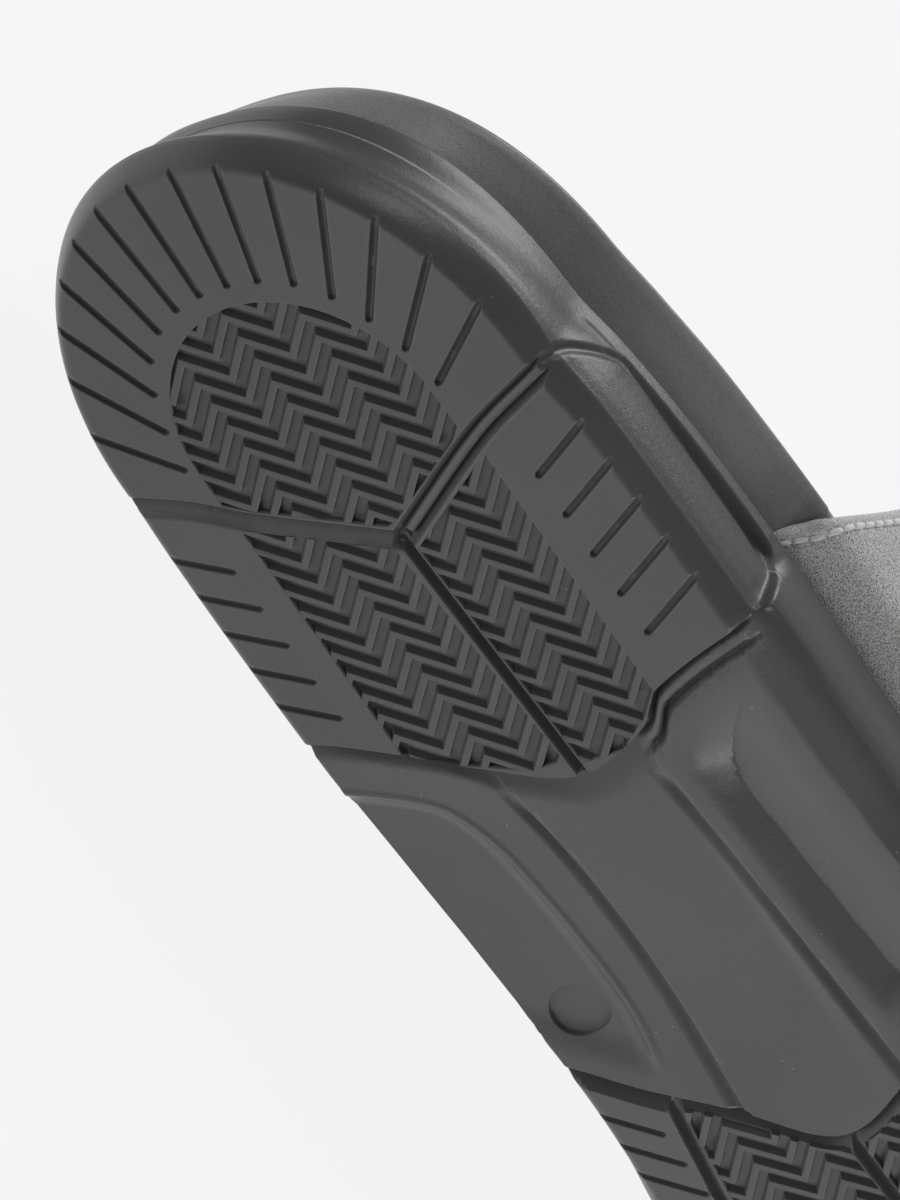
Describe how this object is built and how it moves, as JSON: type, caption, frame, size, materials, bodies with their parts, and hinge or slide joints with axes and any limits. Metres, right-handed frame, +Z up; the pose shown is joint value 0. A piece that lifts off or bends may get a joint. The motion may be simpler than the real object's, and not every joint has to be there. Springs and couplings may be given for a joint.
{
  "type": "slip-on sandal",
  "caption": "Left slip-on sandal lying on its outer side: moulded outsole with slotted tread and hollowed arch, dished footbed, insole, and a broad leather strap over the instep.",
  "frame": {"origin": "on the floor, under the centre of the box of the sandal as it lies", "axes": "+X from heel to toe, -Y out of the tread, +Z up, towards the inner side of the foot"},
  "size_m": [0.2942, 0.0906, 0.0976],
  "materials": {
    "outsole": "moulded, satin",
    "footbed": "moulded, fine matt grain",
    "insole": "matt",
    "strap": "nubuck with a stitched rolled edge"
  },
  "bodies": {
    "root": {"outsole": "outsole", "footbed": "footbed", "insole": "insole", "strap": "strap"}
  },
  "joints": []
}
